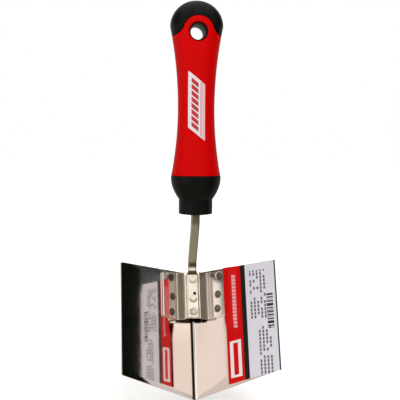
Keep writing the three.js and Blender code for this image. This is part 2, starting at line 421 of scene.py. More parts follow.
def bracket_line():
    lift = SHEET / 2 + GAP + BRACKET_SHEET / 2
    slide = BRACKET_SHIFT / math.sin(HALF_OPENING)
    corners = []
    for side in (-1, 1):
        half = [
            on_wing(FLANGE_END, lift),
            on_wing(FLANGE_START + side * slide, lift),
            np.array([PLATE_HALF + side * BRACKET_SHIFT, -PLATE_FRONT + BRACKET_SHEET / 2]),
        ]
        half = [point * (side, 1) for point in half]
        corners += half if side < 0 else half[::-1]
    return Line(corners, [1.5, 1.3, 1.3, 1.5], step=0.32)


def bracket():
    line = bracket_line()
    lift = SHEET / 2 + GAP + BRACKET_SHEET / 2
    inner = on_wing(FLANGE_START, lift)[0]
    outer = on_wing(FLANGE_END, lift)[0]

    def low(along):
        across = line.across(along)
        off_plate = np.abs(across - BRACKET_SHIFT)
        rise = np.clip((off_plate - PLATE_HALF + 0.4) / 1.6, 0, 1)
        fall = np.clip((off_plate - inner - 0.5) / 1.2, 0, 1)
        drop = WALL_DROP * (smooth(rise) - smooth(fall))
        trim = FLANGE_TRIM * np.clip((np.abs(across) - inner) / (outer - inner), 0, 1)
        return BRACKET_TOP - BRACKET_LENGTH + trim - drop

    def high(along):
        return np.full(along.shape, BRACKET_TOP)

    welds = [(FLANGE_END - along, height) for along, height in LEFT_WELDS]
    welds += [(line.length - FLANGE_END + along, height) for along, height in RIGHT_WELDS]

    def relief(along, height):
        dents = np.zeros(along.shape)
        for centre, weld in welds:
            dents += dish(np.hypot(along - centre, height - weld), WELD_RADIUS, WELD_DEPTH)
        return dents

    shell = Shell()
    place = sheet_place(line)
    plate(shell, place, line.along, low, high, BRACKET_SHEET, edge=0.3, rows=100, corner=1.6, relief=relief)
    return shell.build("bracket_hat", BLADE_FRAME)


def label():
    lift = SHEET / 2 + GAP + CARD / 2
    over_flange = lift + BRACKET_SHEET + GAP
    inner = on_wing(LABEL_START, 0)[0]
    outer = on_wing(WING, 0)[0]

    def card_line(start_lift):
        return Line([
            on_wing(LABEL_START, start_lift),
            on_wing(LABEL_STEP_START, start_lift),
            on_wing(LABEL_STEP_END, lift),
            on_wing(LABEL_END, lift),
            on_wing(LABEL_END, -lift),
            on_wing(LABEL_START, -lift),
        ], [6.0, 6.0, 0.5, 0.5], step=1.2)

    line = card_line(over_flange)
    flat_line = card_line(lift + 0.15)
    below = BRACKET_TOP - BRACKET_LENGTH

    def place(along, height, rise):
        part = smooth(np.clip((below - 0.5 - height) / 9, 0, 1))[..., None]
        stepped = line.at(along, rise)
        flat = flat_line.at(along * flat_line.length / line.length, rise)
        return np.concatenate([stepped * (1 - part) + flat * part, height[..., None]], axis=-1)

    shell = Shell()
    plate(
        shell, place, line.along,
        lambda along: LABEL_BOTTOM + LABEL_BOTTOM_RISE * (line.across(along) - inner) / (outer - inner),
        lambda along: TOP_RISE * line.across(along) / outer,
        CARD, edge=0.12, rows=60, corner=0.5,
    )
    return shell.build("label_card", BLADE_FRAME)


# ---- shank ----


def bezier_chain(corners, reach, step, fine):
    """Points along straight runs joined by quadratic curves, closer together on the first run."""
    curve_points = 14
    points = []
    start = corners[0]
    for i in range(1, len(corners)):
        run = (corners[i] - corners[i - 1]).normalized()
        last = i == len(corners) - 1
        end = corners[i] if last else corners[i] - run * reach
        count = math.ceil((end - start).length / (fine if i == 1 else step))
        points += [start.lerp(end, k / count) for k in range(count)]
        if last:
            points.append(end)
            break
        start = corners[i] + (corners[i + 1] - corners[i]).normalized() * reach
        for k in range(curve_points):
            t = k / curve_points
            points.append(end.lerp(corners[i], t).lerp(corners[i].lerp(start, t), t))
    return points


def rounded_section(width, depth, radius):
    """A rounded rectangle round the bar's axis: across, and towards the front."""
    per_side = 20
    per_corner = 5
    middles = np.array([(1, 1), (-1, 1), (-1, -1), (1, -1)]) * (width / 2 - radius, depth / 2 - radius)

    def on_corner(corner, degrees):
        angle = math.radians(degrees)
        return middles[corner % 4] + radius * np.array([math.cos(angle), math.sin(angle)])

    loop = []
    for corner in range(4):
        start = 90 * corner
        loop += [on_corner(corner, start + 90 * k / (per_corner - 1)) for k in range(per_corner)]
        end = loop[-1]
        target = on_corner(corner + 1, start + 90)
        loop += [end + (target - end) * k / per_side for k in range(1, per_side)]
    return np.array(loop)


def shank():
    middle = -(PLATE_FRONT + GAP + BAR / 2)
    foot_end = BLADE_FRAME @ Vector((BRACKET_SHIFT, middle, FOOT_TOP - FOOT_LENGTH))
    corners = [
        foot_end,
        BLADE_FRAME @ Vector((BRACKET_SHIFT, middle, ARM_RISE)),
        Vector((0, 0, -HOLE_STATION - EXPOSED_TANG)),
        Vector((0, 0, -HOLE_STATION + TANG_DEPTH)),
    ]
    path = bezier_chain(corners, BEND_REACH, step=1.0, fine=0.3)
    foot = rounded_section(FOOT_WIDTH, FOOT_THICKNESS, FOOT_ROUNDING)
    foot[:, 1] -= (BAR - FOOT_THICKNESS) / 2
    bar = rounded_section(BAR, BAR, 1.0)
    step_at = FOOT_LENGTH - 0.4
    weld_depth = 0.09
    soft = 0.35
    rings = []
    travelled = 0.0
    for i, point in enumerate(path):
        travelled += (point - path[i - 1]).length if i else 0.0
        tangent = (path[min(i + 1, len(path) - 1)] - path[max(i - 1, 0)]).normalized()
        right = (Vector((1, 0, 0)) - tangent * tangent.x).normalized()
        front = right.cross(tangent) * -1
        if front.y > 0:
            front = -front
        rise = smooth(np.clip((travelled - step_at) / 1.1, 0, 1))
        section = foot * (1 - rise) + bar * rise
        if travelled < step_at:
            height = FOOT_TOP - FOOT_LENGTH + travelled
            on_front = foot[:, 1] > foot[:, 1].max() - 0.02
            for weld in FOOT_WELDS:
                distance = np.hypot(section[:, 0], height - weld)
                section[on_front, 1] += dish(distance[on_front], WELD_RADIUS, weld_depth)
        rings.append([point + right * float(a) + front * float(b) for a, b in section])
    rings = np.array([[list(p) for p in ring] for ring in rings])
    start, end = rings[0], rings[-1]
    ahead = np.array((path[1] - path[0]).normalized())
    shell = Shell()
    body = rings.copy()
    body[0] = pull_in(start, soft)
    body[1] = start + ahead * soft
    shell.grid(np.concatenate([[pull_in(start, BAR * 9)], body, [pull_in(end, BAR * 9)]]), wrap=True)
    return shell.build("shank_bar")


def pull_in(ring, amount):
    """A ring of points moved towards its middle by an amount, or onto it when the amount is large."""
    centre = ring.mean(axis=0)
    off = ring - centre
    length = np.linalg.norm(off, axis=1)[:, None]
    return centre + off * np.clip(1 - amount / length, 0, 1)


def drill(piece, centre, direction, radius):
    """Cuts a small round hole, FOOT_HOLE_DEPTH deep."""
    edit = bmesh.new()
    turn = Vector((0, 0, 1)).rotation_difference(direction).to_matrix().to_4x4()
    bmesh.ops.create_cone(
        edit, cap_ends=True, segments=32, radius1=radius * MM, radius2=radius * MM,
        depth=2 * FOOT_HOLE_DEPTH * MM,
        matrix=Matrix.Translation(centre * MM) @ turn,
    )
    mesh = bpy.data.meshes.new("drill")
    edit.to_mesh(mesh)
    edit.free()
    tool = add_object("drill", mesh)
    cut = piece.modifiers.new("drill", "BOOLEAN")
    cut.operation = "DIFFERENCE"
    cut.solver = "EXACT"
    cut.object = tool
    bpy.context.view_layer.update()
    made = bpy.data.meshes.new_from_object(piece.evaluated_get(bpy.context.evaluated_depsgraph_get()))
    piece.modifiers.clear()
    piece.data = made
    bpy.data.objects.remove(tool)


# ---- handle ----


def depth_at(z):
    return DEPTH_AT_COLLAR + (DEPTH_AT_BUTT - DEPTH_AT_COLLAR) * (z + HOLE_STATION) / HANDLE_LENGTH


def waist_arc(station, radius):
    rise = radius - WAIST_RADIUS
    return ((station - WAIST_STATION) ** 2 + rise**2) / (2 * rise)


def handle_radius(z):
    """Half-width of the handle above its bulge."""
    station = np.asarray(z, float) + HOLE_STATION
    arc = np.where(
        station < WAIST_STATION,
        waist_arc(BULGE_STATION, BULGE_RADIUS),
        waist_arc(BUTT_STATION, BUTT_RADIUS),
    )
    waist = WAIST_RADIUS + arc - np.sqrt(arc**2 - np.clip(station - WAIST_STATION, -70, 70) ** 2)
    rise = np.clip((station - BUTT_STATION) / (HANDLE_LENGTH - BUTT_STATION), 0, 1)
    dome = BUTT_RADIUS * np.sqrt(np.clip(1 - rise**2, 0, 1))
    return np.where(station > BUTT_STATION, dome, waist)


def tube(radius, z):
    """Rings of the handle's oval section: one for each radius and height."""
    angle = np.linspace(0, 2 * math.pi, AROUND, endpoint=False)
    cos, sin = np.cos(angle), np.sin(angle)
    bulge = (np.abs(cos) ** SQUARENESS + np.abs(sin) ** SQUARENESS) ** (-1 / SQUARENESS)
    radius = np.asarray(radius, float)[:, None]
    z = np.asarray(z, float)[:, None]
    x = radius * cos * bulge
    y = radius * sin * bulge * depth_at(z)
    return np.stack([x, y, np.broadcast_to(z, x.shape)], axis=-1)


def front_y(x, z, inset):
    """Where the handle's surface, moved in by inset, is in front of a point."""
    radius = handle_radius(z) - inset
    inside = np.clip(radius**SQUARENESS - np.abs(x) ** SQUARENESS, 0, None)
    return -depth_at(z) * inside ** (1 / SQUARENESS)


def on_front(flat, inset):
    """Points of the handle's front, moved in by inset, from their x and z."""
    x, z = flat[..., 0], flat[..., 1]
    return np.stack([x, front_y(x, z, inset), z], axis=-1)


def outward(points):
    """Unit normals of the handle's surface at points on it."""
    def level(p):
        x, y, z = p[..., 0], p[..., 1], p[..., 2]
        total = np.abs(x) ** SQUARENESS + np.abs(y / depth_at(z)) ** SQUARENESS
        return total ** (1 / SQUARENESS) - handle_radius(z)
    small = 0.01
    slopes = [level(points + small * axis) - level(points - small * axis) for axis in np.eye(3)]
    normal = np.stack(slopes, axis=-1)
    return normal / np.linalg.norm(normal, axis=-1)[..., None]


def bell(x, grow=0.0):
    """Height of the seam between grip and core: a lobe over the hang hole, flaring down to the shoulders."""
    lobe = LOBE_RADIUS + grow
    flare = FLARE - grow
    centre_z = SHOULDER + grow + flare
    centre_x = math.sqrt((lobe + flare) ** 2 - centre_z**2)
    touch = centre_x * lobe / (lobe + flare)
    x = np.abs(x)
    on_lobe = np.sqrt(np.clip(lobe**2 - x**2, 0, None))
    on_flare = centre_z - np.sqrt(np.clip(flare**2 - (centre_x - x) ** 2, 0, None))
    on_flare = np.where(x > centre_x, SHOULDER + grow, on_flare)
    return np.where(x < touch, on_lobe, on_flare)


def seam_points(inset, grow, count):
    """The seam from right to left as x and z, out to where the surface moved in by inset ends."""
    reach = BUTT_RADIUS
    for _ in range(30):
        reach = float(handle_radius(bell(reach, grow)) - inset)
    x = reach * np.cos(np.linspace(0, math.pi, 4001))
    line = np.stack([x, bell(x, grow)], axis=-1)
    gaps = np.linalg.norm(np.diff(line, axis=0), axis=1)
    along = np.concatenate([[0.0], np.cumsum(gaps)])
    wanted = np.linspace(0, along[-1], count)
    return np.stack([np.interp(wanted, along, line[:, k]) for k in (0, 1)], axis=-1)


def fillet(distance, radius):
    """How far a rounded edge drops below the surface, at a distance from the edge."""
    near = np.clip(radius - distance, 0, radius)
    return radius - np.sqrt(np.clip(radius**2 - near**2, 0, None))


def spaced(length, lip_start, lip_end, inner):
    """Distances along each run: close together within the two lips, and even between them."""
    length = np.asarray(length)[:, None]
    lip_a = np.minimum(lip_start, length / 3)
    lip_b = np.minimum(lip_end, length / 3)
    first = lip_a * EASE[None, :-1] if lip_start else np.zeros((len(length), 0))
    final = length - lip_b * EASE[None, -2::-1] if lip_end else np.zeros((len(length), 0))
    middle = lip_a + (length - lip_a - lip_b) * np.linspace(0, 1, inner)[None, :]
    return np.concatenate([first, middle, final], axis=1)


def surface_runs(starts, ends, inset, lip_start, lip_end, inner):
    """Points on the handle's front between two lines of x and z, and their distances along each run."""
    part = np.sin(np.linspace(0, math.pi / 2, 500))[None, :, None]
    dense = on_front(starts[:, None, :] * (1 - part) + ends[:, None, :] * part, inset)
    gaps = np.linalg.norm(np.diff(dense, axis=1), axis=2)
    along = np.concatenate([np.zeros((len(gaps), 1)), np.cumsum(gaps, axis=1)], axis=1)
    length = np.maximum(along[:, -1], 1e-6)
    wanted = spaced(length, lip_start, lip_end, inner)
    runs = np.empty((wanted.shape[1], len(starts), 3))
    for i in range(len(starts)):
        for k in (0, 2):
            runs[:, i, k] = np.interp(wanted[i], along[i], dense[i, :, k])
    runs[..., 1] = front_y(runs[..., 0], runs[..., 2], inset)
    return runs, wanted.T


def near_line(points, line):
    """Distance of each point from a chain of points."""
    flat = points.reshape(-1, 3)
    best = np.full(len(flat), 1e9)
    for a, b in zip(line[:-1], line[1:]):
        run = b - a
        part = np.clip(((flat - a) @ run) / max(run @ run, 1e-12), 0, 1)
        best = np.minimum(best, np.linalg.norm(flat - a - part[:, None] * run, axis=1))
    return best.reshape(points.shape[:-1])


def patch_outline(inset, grow, seam_count, side_count):
    """Outline of the handle's front round the hang hole, as x and z: seam, left side, bottom, right side."""
    seam = seam_points(inset, grow, seam_count)
    shoulder = seam[-1, 1]
    part = 1 - np.cos(np.linspace(0, math.pi / 2, side_count + 1))[1:-1]
    side_z = shoulder + (PATCH_BOTTOM - shoulder) * part
    side = np.stack([handle_radius(side_z) - inset, side_z], axis=-1)
    bottom_ring = tube(handle_radius([PATCH_BOTTOM]) - inset, [PATCH_BOTTOM])[0]
    bottom = bottom_ring[AROUND // 2:][:, [0, 2]]
    right_end = bottom_ring[:1][:, [0, 2]]
    outline = np.concatenate([seam, side * (-1, 1), bottom, right_end, side[::-1]])
    return outline, len(seam)


def hole_starts(outline, radius):
    """Points of the hang hole's edge, one towards each point of an outline."""
    return outline / np.linalg.norm(outline, axis=1)[:, None] * radius


def closed(rows):
    """A grid whose last column repeats its first."""
    return np.concatenate([rows, rows[:, :1]], axis=1)


def grip():
    """Soft sleeve: an outer and an inner skin, joined at the seam, at the hole's rim and at the bottom."""
    shell = Shell()
    bottom = GRIP_START - HOLE_STATION
    outline, seam_count = patch_outline(0, 0, SEAM_COUNT, SIDE_COUNT)
    rim_points = hole_starts(outline, RIM_RADIUS)
    runs, along = surface_runs(rim_points, outline, inset=0, lip_start=RIM_FILLET, lip_end=LIP, inner=26)
    drop = fillet(near_line(runs, on_front(outline[:seam_count], 0)), LIP)
    rim = fillet(along, RIM_FILLET)
    skin = runs - outward(runs) * drop[..., None]
    skin[..., 1] += rim
    inner_outline, _ = patch_outline(GRIP_THICKNESS, 0, SEAM_COUNT, SIDE_COUNT)
    rim_points = hole_starts(inner_outline, RIM_RADIUS)
    inner, _ = surface_runs(rim_points, inner_outline, GRIP_THICKNESS, lip_start=0, lip_end=0, inner=12)
    shell.mirrored(closed(skin))
    shell.mirrored(closed(inner))
    shell.mirrored(closed(np.stack([skin[0], inner[0]])))
    shell.mirrored(np.stack([skin[-1, :seam_count], inner[-1, :seam_count]]))
    z = np.concatenate([bottom + LIP * EASE, np.linspace(bottom + LIP, PATCH_BOTTOM, 74)[1:]])
    outer_tube = tube(handle_radius(z), z)
    outer_tube -= outward(outer_tube) * fillet(z - bottom, LIP)[:, None, None]
    inner_z = np.linspace(bottom, PATCH_BOTTOM, 20)
    inner_tube = tube(handle_radius(inner_z) - GRIP_THICKNESS, inner_z)
    shell.grid(outer_tube, wrap=True)
    shell.grid(inner_tube, wrap=True)
    shell.grid(np.stack([outer_tube[0], inner_tube[0]]), wrap=True)
    return shell.build("soft_grip_sleeve")


def collar_profile():
    """Radius and station of the core from its open end up to the grip."""
    soft = 0.45
    points = [(CROWN_RADIUS - 0.5, -CROWN_HEIGHT), (CROWN_RADIUS, -CROWN_HEIGHT + 0.03)]
    for angle in np.radians(np.linspace(20, 90, 7)):
        points.append((COLLAR_RADIUS - soft + soft * math.sin(angle), soft - soft * math.cos(angle)))
    points += [(COLLAR_RADIUS, station) for station in np.linspace(soft, COLLAR_LENGTH - 0.15, 8)[1:]]
    start = np.array([COLLAR_RADIUS, COLLAR_LENGTH])
    control = np.array([BULGE_RADIUS, (COLLAR_LENGTH + BULGE_STATION) / 2])
    end = np.array([BULGE_RADIUS, BULGE_STATION])
    for t in np.linspace(0.015, 1, 32):
        points.append(tuple(start * (1 - t) ** 2 + control * 2 * t * (1 - t) + end * t * t))
    return points


def core():
    """Hard core: collar and bulge below, dome above, a plain neck under the grip, and the tang's socket."""
    shell = Shell()
    inset = GRIP_THICKNESS + GAP
    bore_lip = 0.5
    top = GRIP_START - HOLE_STATION - 2 * SEAM
    profile = np.array(collar_profile())
    lip = LIP * EASE[::-1]
    z = np.concatenate([profile[:, 1] - HOLE_STATION, top - lip])
    z[:len(profile)] = np.minimum(z[:len(profile)], top - LIP)
    radius = np.concatenate([profile[:, 0], np.full(7, BULGE_RADIUS) - fillet(lip, LIP)])
    keep = np.concatenate([[True], np.diff(z) > 1e-6])
    outer = tube(radius[keep], z[keep])
    neck_z = np.linspace(top, PATCH_BOTTOM, 20)
    neck = tube(handle_radius(neck_z) - inset, neck_z)
    shell.grid(np.concatenate([outer, neck]), wrap=True)

    angle = np.linspace(0, 2 * math.pi, AROUND, endpoint=False)
    squareness = 10
    half = BAR / 2 + 0.15
    circle = np.stack([np.cos(angle), np.sin(angle)], axis=-1)
    square = circle * half * (np.abs(circle) ** squareness).sum(axis=1, keepdims=True) ** (-1 / squareness)

    def socket_ring(z, scale):
        return np.concatenate([square * scale, np.full((AROUND, 1), z)], axis=-1)

    end = -HOLE_STATION - CROWN_HEIGHT
    mouth = socket_ring(end, 1.08)
    face = [mouth * (1 - part) + outer[0] * part for part in np.linspace(0, 1, 9)]
    deep = -HOLE_STATION + TANG_DEPTH + GAP
    socket = [socket_ring(deep, 0), socket_ring(deep, 1), socket_ring(end + 0.4, 1), mouth]
    shell.grid(socket + face[1:], wrap=True)

    outline, seam_count = patch_outline(inset, SEAM * 2, SEAM_COUNT, SIDE_COUNT)
    rim_points = hole_starts(outline, HOLE_RADIUS)
    runs, along = surface_runs(rim_points, outline, inset, lip_start=bore_lip, lip_end=0, inner=14)
    runs[..., 1] += fillet(along, bore_lip)
    shell.mirrored(closed(runs))
    bore = []
    for part in np.linspace(1, 0, 12):
        narrow = 1 - BORE_WAIST / HOLE_RADIUS * (1 - part**2)
        bore.append(runs[0] * (narrow, part, narrow))
    shell.mirrored(closed(np.stack(bore)))

    seam = seam_points(0, SEAM * 2, SEAM_COUNT)
    cap, _ = surface_runs(seam, silhouette(seam), inset=0, lip_start=LIP, lip_end=0, inner=30)
    cap = cap - outward(cap) * fillet(near_line(cap, on_front(seam, 0)), LIP)[..., None]
    shell.mirrored(cap)
    shell.mirrored(np.stack([cap[0], runs[-1, :seam_count]]))
    return shell.build("handle_core_moulding")


def silhouette(seam):
    """Where the rays from the hang hole's centre through the seam's points leave the handle's outline."""
    low = np.linalg.norm(seam, axis=1)
    ray = seam / low[:, None]
    high = np.full(len(seam), 40.0)
    for _ in range(60):
        middle = (low + high) / 2
        inside = np.abs(ray[:, 0] * middle) < handle_radius(ray[:, 1] * middle)
        low = np.where(inside, middle, low)
        high = np.where(inside, high, middle)
    found = ray * low[:, None]
    found[0], found[-1] = seam[0], seam[-1]
    return found


def badge():
    """Thin slanted plate that follows the grip's front."""
    centre = BADGE_STATION - HOLE_STATION

    def place(across, height, lift):
        points = on_front(np.stack([across + BADGE_SHIFT, height + centre], axis=-1), 0)
        middle = (BADGE_PROUD - BADGE_DEPTH) / 2
        return points + outward(points) * (lift + middle)[..., None]

    def slope(across):
        return -BADGE_SLANT / 2 * across / BADGE_HALF_WIDTH

    shell = Shell()
    plate(
        shell, place, np.linspace(-BADGE_HALF_WIDTH, BADGE_HALF_WIDTH, 25),
        lambda across: slope(across) - BADGE_HEIGHT / 2,
        lambda across: slope(across) + BADGE_HEIGHT / 2,
        BADGE_PROUD + BADGE_DEPTH, edge=0.18, rows=60, corner=0.5,
    )
    return shell.build("grip_badge_plate")


# ---- materials ----


class Tree:
    """Short names for building nodes."""

    def __init__(self, tree):
        self.tree = tree

    def link(self, source, socket):
        if isinstance(source, (int, float)):
            socket.default_value = source
        elif isinstance(source, tuple):
            socket.default_value = source if len(source) == len(socket.default_value) else (*source, 1.0)
        else:
            self.tree.links.new(source, socket)

    def node(self, kind, *values):
        """A node, with values for its first sockets."""
        made = self.tree.nodes.new("ShaderNode" + kind)
        for value, socket in zip(values, made.inputs):
            self.link(value, socket)
        return made

    def math(self, operation, *values):
        node = self.node("Math", *values)
        node.operation = operation
        return node.outputs[0]

    def times(self, first, *others):
        for other in others:
            first = self.math("MULTIPLY", first, other)
        return first

    def remap(self, value, low, high, new_low, new_high, kind="LINEAR"):
        node = self.node("MapRange", value, low, high, new_low, new_high)
        node.interpolation_type = kind
        return node.outputs["Result"]

    def between(self, value, low, high, soft=0.08, kind="LINEAR"):
        """1 where a value is between two others."""
        up = self.remap(value, low - soft, low + soft, 0.0, 1.0, kind)
        down = self.remap(value, high - soft, high + soft, 1.0, 0.0, kind)
        return self.times(up, down)

    def mix(self, part, first, second):
        node = self.node("Mix")
        node.data_type = "RGBA"
        for index, source in ((0, part), (6, first), (7, second)):
            self.link(source, node.inputs[index])
        return node.outputs[2]


class Nodes(Tree):
    """A metal or plastic material."""

    def __init__(self, name, roughness, metallic=0.0, specular=0.5):
        self.material = bpy.data.materials.new(name)
        self.material.use_nodes = True
        super().__init__(self.material.node_tree)
        self.shader = self.tree.nodes["Principled BSDF"]
        self.put(metallic=metallic, roughness=roughness, specular_ior_level=specular)
        self.place = self.node("TexCoord").outputs["Object"]

    def put(self, **values):
        """Sets or links the shader's sockets, by their names in small letters."""
        for socket in self.shader.inputs:
            key = socket.name.lower().replace(" ", "_")
            if key in values:
                self.link(values[key], socket)

    def vector(self, operation, *values):
        node = self.node("VectorMath", *values)
        node.operation = operation
        return node.outputs["Value" if operation in ("DOT_PRODUCT", "DISTANCE", "LENGTH") else "Vector"]

    def stretched(self, scale):
        return self.vector("MULTIPLY", self.place, scale)

    def noise(self, scale, detail=3.0, where=None):
        node = self.node("TexNoise", self.place if where is None else where)
        node.inputs["Scale"].default_value = scale
        node.inputs["Detail"].default_value = detail
        return node.outputs["Fac"]

    def grain(self, value, low, high):
        """A noise's middle part, spread from one value to another."""
        return self.remap(value, 0.3, 0.7, low, high)

    def area(self, first, second, ranges):
        """1 where two values are both within their ranges."""
        return self.times(self.between(first, *ranges[0]), self.between(second, *ranges[1]))

    def bump(self, height, strength, distance):
        node = self.node("Bump")
        node.inputs["Strength"].default_value = strength
        node.inputs["Distance"].default_value = distance * MM
        self.link(height, node.inputs["Height"])
        return node.outputs["Normal"]

    def along_blade(self, direction):
        """Distance from the crease's top end in a direction of the blade frame, in millimetres."""
        turned = BLADE_TURN.to_3x3() @ Vector(direction)
        moved = self.vector("SUBTRACT", self.place, tuple(BLADE_FRAME.translation * MM))
        return self.vector("DOT_PRODUCT", moved, tuple(turned / MM))

    def spot(self, centre, radius, soft):
        """1 within a radius of a point of the blade frame, in millimetres."""
        distance = self.vector("DISTANCE", self.place, tuple(BLADE_FRAME @ Vector(centre) * MM))
        return self.remap(distance, (radius + soft) * MM, (radius - soft) * MM, 0.0, 1.0)

    def set(self, colour, roughness, normal):
        self.put(base_color=colour, roughness=roughness, normal=normal)
        return self.material


def foot_hole():
    """Middle of the small hole in the foot, on its face, in the blade frame."""
    return Vector((BRACKET_SHIFT + FOOT_HOLE[0], -(PLATE_FRONT + GAP + FOOT_THICKNESS), FOOT_HOLE[1]))


def weld_centres():
    """Middles of the bracket's and the foot's spot welds, in the blade frame."""
    lift = SHEET / 2 + GAP + BRACKET_SHEET
    flange = []
    for side, welds in ((-1, LEFT_WELDS), (1, RIGHT_WELDS)):
        for along, height in welds:
            x, y = on_wing(along, lift)
            flange.append(Vector((side * x, y, height)))
    front = -(PLATE_FRONT + GAP + FOOT_THICKNESS)
    foot = [Vector((BRACKET_SHIFT, front, height)) for height in FOOT_WELDS]
    return flange, foot


def blade_steel():
    """Polished sheet, with a dark line along the hollow side of the crease: dirt, and painted shade of the
    bend.
    """
    make = Nodes("blade_steel", 0.08, metallic=1.0)
    broad = make.noise(22.0, 2.0)
    grain = make.noise(900.0, 4.0, make.stretched((1.0, 1.0, 0.03)))
    colour = make.mix(broad, (0.82, 0.745, 0.70), (0.78, 0.705, 0.66))
    hollow = make.math("LESS_THAN", make.along_blade((0, 1, 0)), -0.75)
    # dark line on the hollow side of the crease: partly dirt, partly painted shade of the bend
    grime_and_bend_shade = make.times(make.between(make.along_blade((1, 0, 0)), -2.15, 0.0, 0.25), hollow, 0.93)
    colour = make.mix(grime_and_bend_shade, colour, (0.012, 0.007, 0.005))
    rough = make.math("ADD", make.grain(broad, 0.04, 0.07), make.grain(grain, -0.01, 0.02))
    return make.set(colour, rough, make.bump(grain, 0.06, 0.02))


def bracket_steel():
    """Rolled sheet with painted shade on its walls, a painted highlight on its flanges, and a dark scorched
    mark at each spot weld with a paler eye that is partly a painted highlight.
    """
    make = Nodes("bracket_steel", 0.14, metallic=1.0)
    broad = make.noise(60.0, 3.0)
    grain = make.noise(1200.0, 3.0, make.stretched((1.0, 1.0, 0.05)))
    colour = make.mix(broad, (0.80, 0.745, 0.69), (0.70, 0.645, 0.59))
    leftwards = make.math("SUBTRACT", BRACKET_SHIFT, make.along_blade((1, 0, 0)))
    # painted shade on the two walls: a dark olive colour that stands in for the dark reflections they show
    wall_start, wall_end = PLATE_HALF + 0.9, WALL_FOOT - 0.4
    left_wall_shade = make.between(leftwards, wall_start, wall_end, 0.4)
    colour = make.mix(left_wall_shade, colour, make.mix(broad, (0.35, 0.31, 0.21), (0.29, 0.255, 0.165)))
    right_wall_shade = make.between(leftwards, -wall_end, -wall_start, 0.4)
    colour = make.mix(right_wall_shade, colour, make.mix(broad, (0.44, 0.42, 0.35), (0.36, 0.34, 0.28)))
    off_middle = make.math("ABSOLUTE", leftwards)
    # painted highlight: the flanges' colour is pushed near white to stand in for the bright reflection on
    # them
    flange_highlight = make.remap(off_middle, WALL_FOOT + 0.6, WALL_FOOT + 1.4, 0.0, 1.0)
    colour = make.mix(flange_highlight, colour, (0.98, 0.93, 0.88))
    tint = make.mix(make.noise(420.0), (0.13, 0.09, 0.07), (0.24, 0.19, 0.165))
    rough_parts = 0.0
    for centre in weld_centres()[0]:
        spot = make.spot(centre, WELD_RADIUS * 0.95, 0.3)
        rough_parts = make.math("MAXIMUM", spot, rough_parts)
        # paler eye a little up and to the right of each weld's middle: partly the weld's own paler centre,
        # partly a painted highlight
        eye = make.spot(centre + Vector((0.3, 0, 0.5)), WELD_RADIUS * 0.35, 0.6)
        colour = make.mix(spot, colour, tint)
        colour = make.mix(make.times(eye, 0.55), colour, (0.42, 0.34, 0.29))
    right_side = make.between(leftwards, -WALL_FOOT - 3.0, -PLATE_HALF - 0.6, 0.5)
    left_flange = make.between(leftwards, WALL_FOOT, WALL_FOOT + 6.0, 0.8)
    rough_parts = make.math("MAXIMUM", rough_parts, make.math("MAXIMUM", right_side, left_flange))
    rough = make.math("ADD", make.grain(broad, 0.10, 0.17), make.times(rough_parts, 0.24))
    return make.set(colour, rough, make.bump(grain, 0.08, 0.03))


